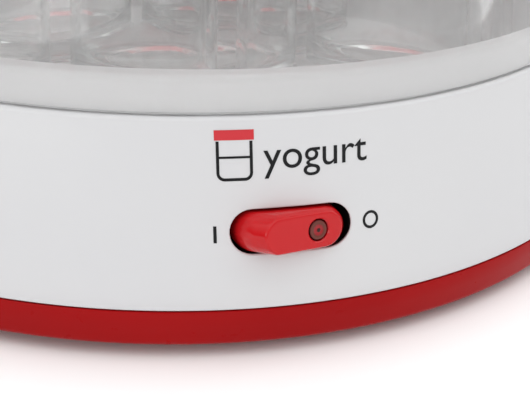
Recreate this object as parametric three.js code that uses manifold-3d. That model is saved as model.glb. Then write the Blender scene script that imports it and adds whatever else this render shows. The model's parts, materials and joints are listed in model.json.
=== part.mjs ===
// Seven-jar electric yogurt maker: a round heated base with a rocker switch, seven lidded glass jars
// and a clear cover.
// Millimetres, +Z up. The origin is on the table under the centre of the base, and the switch faces -Y.

import * as THREE from "three";
import { mergeVertices } from "three/addons/utils/BufferGeometryUtils.js";
import Module from "manifold-3d";

const wasm = await Module();
wasm.setup();

// ---------- driving dimensions ----------

const GAP = 0.3; // between pieces that touch
const ROUND = 48; // sides of the large round mouldings
const SMALL_ROUND = 20; // sides of the jars and lids
const TINY_ROUND = 12; // sides of bosses, screws and pins

// Outer casing
const FOOT_DROP = 2.5; // the feet hold the base this far off the table
const SEAM_R = 120; // widest radius, at the seam between base and housing
const SEAM_Z = 11.1;
const TOP_R = 111.5; // housing radius at its top ledge
const LEDGE_Z = 49.4; // ledge that carries the tray rim and the cover
const LEDGE_INNER_R = 103.7;
const WALL = 2.4;
const BASE_FLOOR = 3; // thickness of the base pan
const TONGUE_R = 116.2; // rim of the base pan that stands inside the housing
const TONGUE_H = 3.4;

// Tray
const RIM_Z = 57; // flat top of the tray rim
const RIM_IN_R = 100.6;
const RIM_OUT_R = 108.2;
const TRAY_WALL = 2.2;
const TRAY_UNDER_Z = 30;
const TRAY_FLOOR_Z = 34;
const SEAT_Z = 32.5; // floor of the seven jar recesses
const SEAT_R = 30.8;

// Jars
const JAR_RING_R = 66; // six jars on this circle, and one in the middle
const JAR_R = 30;
const JAR_H = 76;
const JAR_NECK_R = 26.8;
const JAR_MOUTH_R = 24.4;
const JAR_WALL = 2.6;
const JAR_BASE = 5; // thickness of the glass bottom
const LID_R = 29.5;
const LID_WALL = 1.8;
const LID_TOP = 1.7;
const LID_SKIRT = 13.2; // height of a jar lid

// Cover
const COVER_R = 110.7;
const COVER_WALL = 2;
const COVER_SHOULDER_R = 108.6;
const COVER_SHOULDER_Z = 106;
const COVER_CORNER = 15; // outer radius of the rounded shoulder
const COVER_TOP_Z = 124;

// Feet and the screws that hold the casing together
const FOOT_RING_R = 100;
const FOOT_R = 7;
const FOOT_SEAT = 1.8; // how far a foot stands in its recess
const FOOT_ANGLES = [45, 135, 225, 315];
const POST_RING_R = 88;
const POST_R = 4.5;
const POST_END_Z = 9.3;
const POST_ANGLES = [60, 120, 240, 300];
const POST_BORE_R = 2;
const POST_BORE_TOP_Z = 23;

// Heater, from the tray downwards
const PLATE_R = 78;
const PLATE_Z = [28.5, 29.7];
const CORD_R = 1.3; // radius of the silicone heating cord
const CORD_Z = PLATE_Z[0] - GAP - CORD_R;
const PAD_R = 77;
const PAD_Z = [21.3, 25.3];
const SHIELD_R = 80;
const SHIELD_Z = [19.8, 21];
const SHIELD_RIM_Z = 24;
const HEATER_BOSS_RING_R = 58;
const HEATER_BOSS_R = 3.5;
const HEATER_BOSS_ANGLES = [30, 150, 270];
const HEATER_BORE_R = 1.8;
const CORD_OUTER_LOOP_R = 69;
const CORD_INNER_LOOP_R = 45;
const EXIT_ANGLE = 180; // the heater's leads leave at the back

// Switch, in its own frame: x along the slot, y into the housing, z up the wall
const SWITCH_Z = 27;
const SLOT_LENGTH = 25.2;
const SLOT_HEIGHT = 9.2;
const ROCKER_HALF_LENGTH = 11.5;
const ROCKER_HALF_WIDTH = 4.1;
const PIVOT_DEPTH = 6.5;
const CREST_X = -5.3; // the crest is towards the I side
const CREST_HEIGHT = 12.7; // crest of the rocker above its pivot
const ROCKER_UNDER = 2.2; // underside of the rocker below its pivot
const O_SLOPE = 23.7; // fall of the O face from the crest, in degrees
const I_SLOPE = 41; // fall of the I face
const ROCKER_TILT = 7; // either way from level, and at rest the I side is in
const ROCKER_BEVEL = 0.6;
const LENS_OFFSET = 5.8; // centre of the indicator lens along the rocker
const LENS_R = 2.05;
const LENS_BORE_R = 2.3;
const LENS_DEPTH = 2.6;
const LENS_BORE_DEPTH = 6.4;
const LAMP_R = 1.3;
const PIN_R = 0.9;
const PIN_BORE_R = 1.2;
const BODY_HALF_LENGTH = 14;
const BODY_HALF_HEIGHT = 5.8;
const BODY_Y = [3.4, 15.2];
const BODY_WALL = 1;
const EAR_X = 17.5;
const EAR_END_X = 20.5;
const EAR_Y = [8.8, 10.8];
const EAR_HALF_HEIGHT = 3.2;
const EAR_BOSS_R = 3;
const EAR_BORE_R = 1.2;
const TAB_X = [-7.5, 0, 7.5];
const TAB_END_Y = 22;
const TAB_HALF_WIDTH = 2.4;
const TAB_HALF_THICKNESS = 0.4;
const LEVER_Y = 13;
const LEVER_TILT = 4;
const LEVER_HALF_LENGTH = 6;

// Wiring and cord inlet
const GLAND_Z = 22.2;
const GLAND_BORE_R = 3.2;
const GLAND_NECK_R = 4.7;
const GLAND_FLANGE_R = 7;
const GLAND_COLLAR_R = 5.6;
const GLAND_INNER_Y = 111;
const GLAND_FACE_Y = 122.5; // outer end of the collar
const LEAD_R = 1.2;
const LEAD_RING_R = 97; // the lamp's lead runs inside the other two
const LEAD_OUTER_RING_R = 104;
const LEAD_Z = 9.5;
const BLOCK_Y = 58;
const BLOCK_SIZE = [26, 13, 9];
const BLOCK_Z = 7.8;
const BLOCK_POLE_X = 7.5;

// ---------- geometry helpers ----------

const rad = THREE.MathUtils.degToRad;

// A point at a radius and a clock angle: 0 is the front, -Y, and 90 is +X.
const polar = (angle, radius) => [radius * Math.sin(rad(angle)), -radius * Math.cos(rad(angle))];

// Radius of the housing's conical outer face at a height.
const housingR = (z) => SEAM_R - ((z - SEAM_Z) * (SEAM_R - TOP_R)) / (LEDGE_Z - SEAM_Z);
const WALL_LEAN = THREE.MathUtils.radToDeg(Math.atan((SEAM_R - TOP_R) / (LEDGE_Z - SEAM_Z)));

// A closed three.js geometry as a manifold-3d solid, without its zero-area triangles.
function solid(geometry) {
  if (!geometry.isBufferGeometry) return geometry;
  const flat = geometry.index ? geometry.toNonIndexed() : geometry;
  const bare = new THREE.BufferGeometry().setAttribute("position", flat.getAttribute("position"));
  const merged = mergeVertices(bare, 1e-4);
  const corners = merged.index.array;
  const triangles = [];
  for (let i = 0; i < corners.length; i += 3) {
    const [a, b, c] = corners.subarray(i, i + 3);
    if (a !== b && b !== c && c !== a) triangles.push(a, b, c);
  }
  return new wasm.Manifold(
    new wasm.Mesh({
      numProp: 3,
      vertProperties: merged.attributes.position.array,
      triVerts: new Uint32Array(triangles),
    }),
  );
}

const join = (first, ...rest) => rest.reduce((whole, part) => whole.add(solid(part)), solid(first));
const cut = (first, ...rest) => rest.reduce((whole, part) => whole.subtract(solid(part)), solid(first));
const common = (first, ...rest) => rest.reduce((whole, part) => whole.intersect(solid(part)), solid(first));

// A solid back as a three.js geometry.
function geometryOf(shape) {
  const made = solid(shape).getMesh();
  const points = new Float32Array(made.numVert * 3);
  for (let i = 0; i < made.numVert; i++) {
    points.set(made.vertProperties.subarray(i * made.numProp, i * made.numProp + 3), i * 3);
  }
  const geometry = new THREE.BufferGeometry();
  geometry.setAttribute("position", new THREE.BufferAttribute(points, 3));
  geometry.setIndex(new THREE.BufferAttribute(made.triVerts, 1));
  geometry.computeVertexNormals();
  return geometry;
}

// A profile of [radius, height] points turned about +Z. It runs out, up and back in, and off the axis
// it closes on itself.
function turned(profile, sides = ROUND) {
  const points = profile.map(([r, z]) => new THREE.Vector2(r, z));
  const ends = [points[0], points.at(-1)];
  if (ends.some((p) => p.x > 0)) points.push(points[0].clone());
  return new THREE.LatheGeometry(points, sides).rotateX(Math.PI / 2);
}

// A rod along +Z from z0 to z1, at (x, y).
const rod = (r, z0, z1, [x, y] = [0, 0], sides = TINY_ROUND) =>
  turned([[0, z0], [r, z0], [r, z1], [0, z1]], sides).translate(x, y, 0);

// A box from one corner to the opposite one.
function block([x0, y0, z0], [x1, y1, z1]) {
  const size = new THREE.BoxGeometry(x1 - x0, y1 - y0, z1 - z0);
  return size.translate((x0 + x1) / 2, (y0 + y1) / 2, (z0 + z1) / 2);
}

// A slot shape with round ends, along x.
function stadium(length, width) {
  const r = width / 2;
  const reach = length / 2 - r;
  const shape = new THREE.Shape();
  shape.moveTo(-reach, -r);
  shape.lineTo(reach, -r);
  shape.absarc(reach, 0, r, -Math.PI / 2, Math.PI / 2, false);
  shape.lineTo(-reach, r);
  shape.absarc(-reach, 0, r, Math.PI / 2, (3 * Math.PI) / 2, false);
  return shape;
}

const prism = (shape, depth, curveSegments = 8) =>
  new THREE.ExtrudeGeometry(shape, { depth, bevelEnabled: false, curveSegments });

// A round cable of radius r along a smooth curve through the points.
function cable(points, r, steps, sides = 8) {
  const path = new THREE.CatmullRomCurve3(points.map((p) => new THREE.Vector3(...p)));
  const section = new THREE.Shape();
  for (let i = 0; i < sides; i++) {
    const angle = (i * 2 * Math.PI) / sides;
    const [x, y] = [r * Math.cos(angle), r * Math.sin(angle)];
    if (i) section.lineTo(x, y);
    else section.moveTo(x, y);
  }
  return new THREE.ExtrudeGeometry(section, { steps, extrudePath: path, bevelEnabled: false });
}

// A cross-head screw along +Z: the head's outer face is at 0 and the tip at its full length.
function screw(headR, headH, shankR, length) {
  const body = turned(
    [[0, 0], [headR * 0.7, 0], [headR, headH * 0.45], [headR, headH], [shankR, headH],
      [shankR, length - shankR], [0, length]],
    TINY_ROUND,
  );
  const arm = headR * 0.55;
  const thin = headR * 0.13;
  const depth = headH * 0.5;
  const across = block([-arm, -thin, -1], [arm, thin, depth]);
  const upright = block([-thin, -arm, -1], [thin, arm, depth]);
  return cut(body, across, upright);
}

// ---------- finishes ----------

const finish = (color, roughness, metalness = 0, more = {}) =>
  new THREE.MeshStandardMaterial({ color, roughness, metalness, ...more });
const FINISH = {
  whiteShell: finish("#e9e9ea", 0.28),
  redShell: finish("#b3161b", 0.32),
  redLid: finish("#c01c24", 0.4),
  clearCover: finish("#eef0f4", 0.05, 0, { transparent: true, opacity: 0.25 }),
  glass: finish("#dfe8e4", 0.04, 0, { transparent: true, opacity: 0.35 }),
  lens: finish("#6e1a16", 0.15, 0, { transparent: true, opacity: 0.7 }),
  lamp: finish("#e8b9a0", 0.1),
  rubber: finish("#33312f", 0.8),
  steel: finish("#c3c4c6", 0.3, 1),
  aluminium: finish("#cfd0d2", 0.35, 1),
  brass: finish("#c9a24a", 0.3, 1),
  nylon: finish("#e6e2d6", 0.5),
  blackNylon: finish("#1f1d1c", 0.5),
  silicone: finish("#d9d4ca", 0.6),
  fibre: finish("#ded6b8", 0.95),
  leadBrown: finish("#5d3a22", 0.5),
  leadBlue: finish("#2c5f9e", 0.5),
  label: finish("#d7d8da", 0.5),
};

const yogurtMaker = new THREE.Group();

function add(name, shape, material, parent = yogurtMaker) {
  const mesh = new THREE.Mesh(geometryOf(shape), material);
  mesh.name = name;
  parent.add(mesh);
  return mesh;
}

// ---------- base pan, feet and label ----------

const BASE_TOP = FOOT_DROP + BASE_FLOOR;
const FOOT_TOP = FOOT_DROP + FOOT_SEAT;
const SCREW_HEAD = [3.4, 2.3]; // radius and height
const SCREW_SEAT_Z = 6.6; // top of the counterbore under each casing screw
const BASE_BOSS_R = 6.2;
const LABEL = { y: -58, halfLength: 26, halfWidth: 14, thickness: 0.4 };

function ventSlots() {
  const slots = [];
  for (let angle = 0; angle < 360; angle += 45) {
    const slot = prism(stadium(22, 2.6), BASE_FLOOR + 2, 4).translate(26, 0, FOOT_DROP - 1);
    slots.push(slot.rotateZ(rad(angle + 22.5)));
  }
  return slots;
}

function basePan() {
  const pan = turned([
    [0, FOOT_DROP], [117.3, FOOT_DROP], [118.7, 3], [119.3, 4.4], [119.8, 7.6], [SEAM_R, SEAM_Z],
    [TONGUE_R, SEAM_Z], [TONGUE_R, SEAM_Z + TONGUE_H], [TONGUE_R - 1.8, SEAM_Z + TONGUE_H],
    [TONGUE_R - 1.8, BASE_TOP], [0, BASE_TOP],
  ]);
  const bosses = POST_ANGLES.map((a) =>
    rod(BASE_BOSS_R, FOOT_DROP + 1, POST_END_Z - GAP, polar(a, POST_RING_R)));
  const blockPost = rod(4, FOOT_DROP + 1, BLOCK_Z - GAP, [0, BLOCK_Y]);
  const counterbores = POST_ANGLES.map((a) =>
    rod(SCREW_HEAD[0] + 0.8, 0, SCREW_SEAT_Z, polar(a, POST_RING_R)));
  const clearances = POST_ANGLES.map((a) => rod(2.1, 0, 20, polar(a, POST_RING_R)));
  const footSeats = FOOT_ANGLES.map((a) =>
    rod(FOOT_R + GAP, 0, FOOT_TOP + GAP, polar(a, FOOT_RING_R), SMALL_ROUND));
  const labelSeat = block(
    [-LABEL.halfLength - GAP, LABEL.y - LABEL.halfWidth - GAP, 0],
    [LABEL.halfLength + GAP, LABEL.y + LABEL.halfWidth + GAP, FOOT_DROP + LABEL.thickness + GAP],
  );
  const blockBore = rod(1.3, BASE_TOP - 1, 20, [0, BLOCK_Y], 8);
  return cut(
    join(pan, ...bosses, blockPost),
    ...counterbores, ...clearances, ...footSeats, ...ventSlots(), labelSeat, blockBore,
  );
}

add("base_pan", basePan(), FINISH.redShell);

FOOT_ANGLES.forEach((angle, i) => {
  const profile = [[0, 0], [FOOT_R - 1, 0], [FOOT_R, 1], [FOOT_R, FOOT_TOP], [0, FOOT_TOP]];
  const foot = add(`foot_${i + 1}`, turned(profile, SMALL_ROUND), FINISH.rubber);
  foot.position.set(...polar(angle, FOOT_RING_R), 0);
});

add(
  "rating_label",
  block(
    [-LABEL.halfLength, LABEL.y - LABEL.halfWidth, FOOT_DROP],
    [LABEL.halfLength, LABEL.y + LABEL.halfWidth, FOOT_DROP + LABEL.thickness],
  ),
  FINISH.label,
);

POST_ANGLES.forEach((angle, i) => {
  const made = add(`casing_screw_${i + 1}`, screw(...SCREW_HEAD, POST_BORE_R - GAP, 17), FINISH.steel);
  made.position.set(...polar(angle, POST_RING_R), SCREW_SEAT_Z - GAP - SCREW_HEAD[1]);
});

// ---------- switch frame ----------

const switchFrame = new THREE.Group();
switchFrame.position.set(0, -housingR(SWITCH_Z), SWITCH_Z);
switchFrame.rotation.x = -rad(WALL_LEAN);
switchFrame.updateMatrix();
yogurtMaker.add(switchFrame);

// A copy of a shape from the switch frame in the object's frame.
const fromSwitch = (geometry) => geometry.applyMatrix4(switchFrame.matrix);

// A rod along the switch frame's y, from y0 to y1, at (x, z).
const pegY = (r, y0, y1, [x, z] = [0, 0], sides = TINY_ROUND) =>
  turned([[0, y0], [r, y0], [r, y1], [0, y1]], sides).rotateX(-Math.PI / 2).translate(x, 0, z);

// ---------- housing shell ----------

const EAR_BOSS_END = EAR_Y[0] - GAP;

function housingShell() {
  const foot = SEAM_Z + GAP;
  const inner = (z) => housingR(z) - WALL;
  const shell = turned([
    [inner(foot), foot], [housingR(foot) - 0.5, foot], [housingR(foot + 0.5), foot + 0.5],
    [housingR(LEDGE_Z - 1.2), LEDGE_Z - 1.2], [TOP_R - 0.35, LEDGE_Z - 0.3], [TOP_R - 0.8, LEDGE_Z],
    [LEDGE_INNER_R, LEDGE_Z], [LEDGE_INNER_R, LEDGE_Z - WALL], [inner(LEDGE_Z - WALL), LEDGE_Z - WALL],
  ]);
  const slot = prism(stadium(SLOT_LENGTH, SLOT_HEIGHT), 12).rotateX(Math.PI / 2).translate(0, 6, 0);
  const bosses = [-EAR_X, EAR_X].map((x) => fromSwitch(pegY(EAR_BOSS_R, 2.6, EAR_BOSS_END, [x, 0])));
  const bores = [-EAR_X, EAR_X].map((x) => fromSwitch(pegY(EAR_BORE_R, 4.4, EAR_BOSS_END + 1, [x, 0], 8)));
  const glandHole = rod(GLAND_NECK_R + GAP, 100, 130, [0, 0], 16)
    .rotateX(-Math.PI / 2)
    .translate(0, 0, GLAND_Z);
  return cut(join(shell, ...bosses), fromSwitch(slot), ...bores, glandHole);
}

add("housing_shell", housingShell(), FINISH.whiteShell);

// ---------- tray ----------

const JARS = [[0, 0], ...[30, 90, 150, 210, 270, 330].map((a) => polar(a, JAR_RING_R))];

function innerTray() {
  const wallFootR = 98.4;
  const outerFootR = wallFootR + TRAY_WALL;
  const rimUnder = RIM_Z - TRAY_WALL;
  const skirtR = RIM_OUT_R - TRAY_WALL;
  const shell = turned([
    [0, TRAY_UNDER_Z], [97, TRAY_UNDER_Z], [99.7, 31.2], [outerFootR, 33.6],
    [RIM_IN_R + TRAY_WALL - 0.3, rimUnder], [skirtR, rimUnder], [skirtR, LEDGE_Z + GAP],
    [RIM_OUT_R, LEDGE_Z + GAP], [RIM_OUT_R, RIM_Z - 1.4], [RIM_OUT_R - 0.5, RIM_Z - 0.5],
    [RIM_OUT_R - 1.4, RIM_Z], [RIM_IN_R + 0.8, RIM_Z], [RIM_IN_R, RIM_Z - 0.8],
    [wallFootR, TRAY_FLOOR_Z + 1.6], [wallFootR - 1.6, TRAY_FLOOR_Z], [0, TRAY_FLOOR_Z],
  ]);
  const seats = JARS.map((at) => rod(SEAT_R, SEAT_Z, RIM_Z, at, 24));
  const posts = POST_ANGLES.map((a) => rod(POST_R, POST_END_Z, TRAY_UNDER_Z + 1, polar(a, POST_RING_R)));
  const bosses = HEATER_BOSS_ANGLES.map((a) =>
    rod(HEATER_BOSS_R, PAD_Z[0], TRAY_UNDER_Z + 1, polar(a, HEATER_BOSS_RING_R)));
  const postBores = POST_ANGLES.map((a) =>
    rod(POST_BORE_R, 0, POST_BORE_TOP_Z, polar(a, POST_RING_R), 8));
  const bossBores = HEATER_BOSS_ANGLES.map((a) =>
    rod(HEATER_BORE_R, 0, PLATE_Z[0], polar(a, HEATER_BOSS_RING_R), 8));
  return cut(join(cut(shell, ...seats), ...posts, ...bosses), ...postBores, ...bossBores);
}

add("inner_tray", innerTray(), FINISH.whiteShell);

// ---------- jars and lids ----------

const JAR_Z = SEAT_Z + GAP;

function jar() {
  const inner = JAR_R - JAR_WALL;
  const shoulder = 59;
  return turned([
    [0, 0], [JAR_R - 2.5, 0], [JAR_R, 3], [JAR_R, shoulder], [JAR_NECK_R, shoulder + 4.5],
    [JAR_NECK_R, JAR_H], [JAR_MOUTH_R, JAR_H], [JAR_MOUTH_R, shoulder + 4],
    [inner, shoulder - 0.5], [inner, JAR_BASE + 4], [inner - 4, JAR_BASE], [0, JAR_BASE],
  ], SMALL_ROUND);
}

function jarLid() {
  const under = JAR_H + GAP;
  const top = under + LID_TOP;
  const foot = top - LID_SKIRT;
  return turned([
    [0, under], [LID_R - LID_WALL, under], [LID_R - LID_WALL, foot], [LID_R, foot],
    [LID_R, top - 1], [LID_R - 1, top], [0, top],
  ], SMALL_ROUND);
}

JARS.forEach(([x, y], i) => {
  add(`jar_${i + 1}`, jar(), FINISH.glass).position.set(x, y, JAR_Z);
  add(`jar_lid_${i + 1}`, jarLid(), FINISH.redLid).position.set(x, y, JAR_Z);
});

// ---------- clear cover ----------

// Points of the rounded shoulder between the cover's side and its domed top.
function coverShoulder(offset) {
  const r = COVER_CORNER - offset;
  const [cx, cz] = [COVER_SHOULDER_R - COVER_CORNER, COVER_SHOULDER_Z];
  return [0, 30, 60, 84].map((a) => [cx + r * Math.cos(rad(a)), cz + r * Math.sin(rad(a))]);
}

function cover() {
  const foot = LEDGE_Z + GAP;
  return turned([
    [0, COVER_TOP_Z - COVER_WALL], ...coverShoulder(COVER_WALL).reverse(), [COVER_R - COVER_WALL, foot],
    [COVER_R, foot], ...coverShoulder(0), [0, COVER_TOP_Z],
  ]);
}

add("cover", cover(), FINISH.clearCover);

// ---------- heater under the tray ----------

function heaterPlate() {
  const holes = HEATER_BOSS_ANGLES.map((a) =>
    rod(HEATER_BOSS_R + GAP, 0, 40, polar(a, HEATER_BOSS_RING_R)));
  return cut(rod(PLATE_R, ...PLATE_Z, [0, 0], ROUND), ...holes);
}

add("heater_plate", heaterPlate(), FINISH.aluminium);

// The heating cord runs round the outer loop, turns in and comes back round the inner one to the fuse.
const CORD_START = polar(EXIT_ANGLE + 7, SHIELD_R + 3);
const CORD_END = polar(EXIT_ANGLE + 8, CORD_INNER_LOOP_R + 2);

function heatingCord() {
  const loop = (radius, from, to, count) =>
    Array.from({ length: count }, (_, i) => polar(from + ((to - from) * i) / (count - 1), radius));
  const points = [
    CORD_START,
    polar(EXIT_ANGLE + 9, CORD_OUTER_LOOP_R + 4),
    ...loop(CORD_OUTER_LOOP_R, EXIT_ANGLE + 16, EXIT_ANGLE + 346, 15),
    polar(EXIT_ANGLE - 16, (CORD_OUTER_LOOP_R + CORD_INNER_LOOP_R) / 2),
    ...loop(CORD_INNER_LOOP_R, EXIT_ANGLE - 30, EXIT_ANGLE - 340, 11),
    CORD_END,
  ];
  return cable(points.map(([x, y]) => [x, y, CORD_Z]), CORD_R, 72, 6);
}

add("heating_cord", heatingCord(), FINISH.silicone);

// The fuse lies against the plate, in line with the end of the cord.
const FUSE_Y = [CORD_INNER_LOOP_R + 5, CORD_INNER_LOOP_R + 17];
const FUSE_X = polar(EXIT_ANGLE + 4, FUSE_Y[0])[0];
add(
  "thermal_fuse",
  turned([
    [0, 0], [0.5, 0], [0.5, 1], [CORD_R, 1.4], [CORD_R, 10.6], [0.5, 11], [0.5, 12], [0, 12],
  ], TINY_ROUND)
    .rotateX(-Math.PI / 2)
    .translate(FUSE_X, FUSE_Y[0], CORD_Z),
  FINISH.steel,
);

const padHoles = (r) => HEATER_BOSS_ANGLES.map((a) => rod(r, 0, 40, polar(a, HEATER_BOSS_RING_R)));

add(
  "insulation_pad",
  cut(rod(PAD_R, ...PAD_Z, [0, 0], ROUND), ...padHoles(HEATER_BOSS_R + GAP)),
  FINISH.fibre,
);

function heatShield() {
  const sheet = SHIELD_Z[1] - SHIELD_Z[0];
  const dish = turned([
    [0, SHIELD_Z[0]], [SHIELD_R, SHIELD_Z[0]], [SHIELD_R, SHIELD_RIM_Z],
    [SHIELD_R - sheet, SHIELD_RIM_Z], [SHIELD_R - sheet, SHIELD_Z[1]], [0, SHIELD_Z[1]],
  ]);
  return cut(dish, ...padHoles(HEATER_BORE_R + 0.2));
}

add("heat_shield", heatShield(), FINISH.aluminium);

HEATER_BOSS_ANGLES.forEach((angle, i) => {
  const made = add(`heater_screw_${i + 1}`, screw(3, 2, HEATER_BORE_R - GAP, 9.5), FINISH.steel);
  made.position.set(...polar(angle, HEATER_BOSS_RING_R), SHIELD_Z[0] - GAP - 2);
});

// ---------- switch ----------

const PIVOT = [0, PIVOT_DEPTH, 0];

function switchBody() {
  const [front, back] = BODY_Y;
  const outer = block(
    [-BODY_HALF_LENGTH, front, -BODY_HALF_HEIGHT],
    [BODY_HALF_LENGTH, back, BODY_HALF_HEIGHT],
  );
  const cavity = block(
    [-BODY_HALF_LENGTH + BODY_WALL, front - 1, -BODY_HALF_HEIGHT + BODY_WALL],
    [BODY_HALF_LENGTH - BODY_WALL, back - BODY_WALL, BODY_HALF_HEIGHT - BODY_WALL],
  );
  const ears = block([-EAR_END_X, EAR_Y[0], -EAR_HALF_HEIGHT], [EAR_END_X, EAR_Y[1], EAR_HALF_HEIGHT]);
  const earHoles = [-EAR_X, EAR_X].map((x) => pegY(EAR_BORE_R, EAR_Y[0] - 1, EAR_Y[1] + 1, [x, 0], 8));
  const pinHole = rod(PIN_BORE_R, -BODY_HALF_HEIGHT - 1, BODY_HALF_HEIGHT + 1, [0, PIVOT_DEPTH]);
  const tabSlots = TAB_X.map((x) =>
    block(
      [x - TAB_HALF_WIDTH - GAP, back - BODY_WALL - 1, -TAB_HALF_THICKNESS - GAP],
      [x + TAB_HALF_WIDTH + GAP, back + 1, TAB_HALF_THICKNESS + GAP],
    ));
  return cut(join(outer, ears), cavity, ...earHoles, pinHole, ...tabSlots);
}

add("switch_body", switchBody(), FINISH.blackNylon, switchFrame);
add(
  "rocker_pin",
  rod(PIN_R, -BODY_HALF_HEIGHT, BODY_HALF_HEIGHT, [0, PIVOT_DEPTH]),
  FINISH.steel,
  switchFrame,
);

[-EAR_X, EAR_X].forEach((x, i) => {
  const shape = screw(2.2, 1.6, EAR_BORE_R - GAP, 7.4);
  const made = add(`switch_screw_${i + 1}`, shape, FINISH.steel, switchFrame);
  made.rotation.x = Math.PI / 2;
  made.position.set(x, EAR_Y[1] + GAP + 1.6, 0);
});

// Terminal tabs through the back of the switch. The middle one carries the lever.
const TAB_NAMES = ["lamp_terminal", "common_terminal", "load_terminal"];
const TAB_FRONT_Y = [14.4, 13.65, 14.1];
TAB_X.forEach((x, i) => {
  const blade = block(
    [x - TAB_HALF_WIDTH, TAB_FRONT_Y[i], -TAB_HALF_THICKNESS],
    [x + TAB_HALF_WIDTH, TAB_END_Y, TAB_HALF_THICKNESS],
  );
  const hole = rod(0.8, -2, 2, [x, TAB_END_Y - 3], 8);
  add(TAB_NAMES[i], cut(blade, hole), FINISH.brass, switchFrame);
});

const lever = add(
  "contact_lever",
  block([-LEVER_HALF_LENGTH, -0.25, -1.6], [LEVER_HALF_LENGTH, 0.25, 1.6]),
  FINISH.brass,
  switchFrame,
);
lever.position.set(0, LEVER_Y, 0);
lever.rotation.z = rad(LEVER_TILT);

// The rocker's own frame: the pivot is its origin, x runs along it and -y is outwards.
const rockerFrame = new THREE.Group();
rockerFrame.position.set(...PIVOT);
rockerFrame.rotation.z = -rad(ROCKER_TILT);
switchFrame.add(rockerFrame);

const STEM_R = 2.2;
const STEM_END = 4.5;
const PLUNGER_R = 1.05;
const PLUNGER_BORE_R = 1.35;
const PLUNGER_TIP = 5.9;
const PLUNGER_BACK = 3.6;
const PLUNGER_BORE_TOP = 1.9;

// Places a shape made about +Z in the lens bore: its origin is on the rocker's O face and +Z points out.
function inLensBore(geometry) {
  const slope = rad(O_SLOPE);
  const height = CREST_HEIGHT - (LENS_OFFSET - CREST_X) * Math.tan(slope);
  return geometry.rotateX(Math.PI / 2).rotateZ(slope).translate(LENS_OFFSET, -height, 0);
}

function rocker() {
  const [iSlope, oSlope] = [Math.tan(rad(I_SLOPE)), Math.tan(rad(O_SLOPE))];
  const side = new THREE.Shape();
  side.moveTo(-ROCKER_HALF_LENGTH, -CREST_HEIGHT + (CREST_X + ROCKER_HALF_LENGTH) * iSlope);
  side.lineTo(CREST_X - 0.7, -CREST_HEIGHT + 0.7 * iSlope);
  side.lineTo(CREST_X + 0.3, -CREST_HEIGHT + 0.3 * oSlope);
  side.lineTo(ROCKER_HALF_LENGTH, -CREST_HEIGHT + (ROCKER_HALF_LENGTH - CREST_X) * oSlope);
  side.lineTo(ROCKER_HALF_LENGTH, -0.5);
  side.lineTo(6, ROCKER_UNDER);
  side.lineTo(-6, ROCKER_UNDER);
  side.lineTo(-ROCKER_HALF_LENGTH, -0.5);
  const depth = 2 * (ROCKER_HALF_WIDTH - ROCKER_BEVEL);
  const bevel = {
    bevelEnabled: true,
    bevelThickness: ROCKER_BEVEL,
    bevelSize: ROCKER_BEVEL,
    bevelOffset: -ROCKER_BEVEL,
    bevelSegments: 2,
  };
  const wedge = new THREE.ExtrudeGeometry(side, { depth, ...bevel }).translate(0, 0, -depth / 2);
  const plan = prism(stadium(2 * ROCKER_HALF_LENGTH, 2 * ROCKER_HALF_WIDTH), 20)
    .rotateX(Math.PI / 2)
    .translate(0, 5, 0);
  const stem = pegY(STEM_R, 0, STEM_END);
  const plungerBore = pegY(PLUNGER_BORE_R, PLUNGER_BORE_TOP, STEM_END + 1);
  const pinBore = rod(PIN_BORE_R, -6, 6);
  const lensBore = inLensBore(rod(LENS_BORE_R, -LENS_BORE_DEPTH, 2, [0, 0], 16));
  return cut(join(common(wedge, plan), stem), plungerBore, pinBore, lensBore);
}

add("rocker", rocker(), FINISH.redShell, rockerFrame);
add(
  "indicator_lens",
  inLensBore(turned([
    [0, -LENS_DEPTH], [LENS_R, -LENS_DEPTH], [LENS_R, -0.2], [LENS_R * 0.6, 0.1], [0, 0.2],
  ], 16)),
  FINISH.lens,
  rockerFrame,
);
add(
  "indicator_lamp",
  inLensBore(turned([
    [0, -LENS_BORE_DEPTH + GAP], [LAMP_R + 0.3, -LENS_BORE_DEPTH + GAP], [LAMP_R + 0.3, -5.2],
    [LAMP_R, -5.2], [LAMP_R, -3.9], [LAMP_R * 0.7, -3.2], [0, -LENS_DEPTH - GAP],
  ], TINY_ROUND)),
  FINISH.lamp,
  rockerFrame,
);
add(
  "plunger",
  turned([
    [0, PLUNGER_BACK], [PLUNGER_R, PLUNGER_BACK], [PLUNGER_R, PLUNGER_TIP - 0.8],
    [PLUNGER_R * 0.7, PLUNGER_TIP - 0.2], [0, PLUNGER_TIP],
  ], TINY_ROUND).rotateX(-Math.PI / 2),
  FINISH.nylon,
  rockerFrame,
);

function plungerSpring() {
  const turns = 2;
  const wireR = 0.18;
  const coilR = PLUNGER_R - wireR;
  const [start, end] = [PLUNGER_BORE_TOP + wireR + 0.1, PLUNGER_BACK - wireR - 0.1];
  const points = Array.from({ length: turns * 8 + 1 }, (_, i) => {
    const angle = (i * Math.PI) / 4;
    return [coilR * Math.cos(angle), start + ((end - start) * i) / (turns * 8), coilR * Math.sin(angle)];
  });
  return cable(points, wireR, turns * 12, 6);
}

add("plunger_spring", plungerSpring(), FINISH.steel, rockerFrame);

// ---------- cord inlet, terminal block and leads ----------

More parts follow.
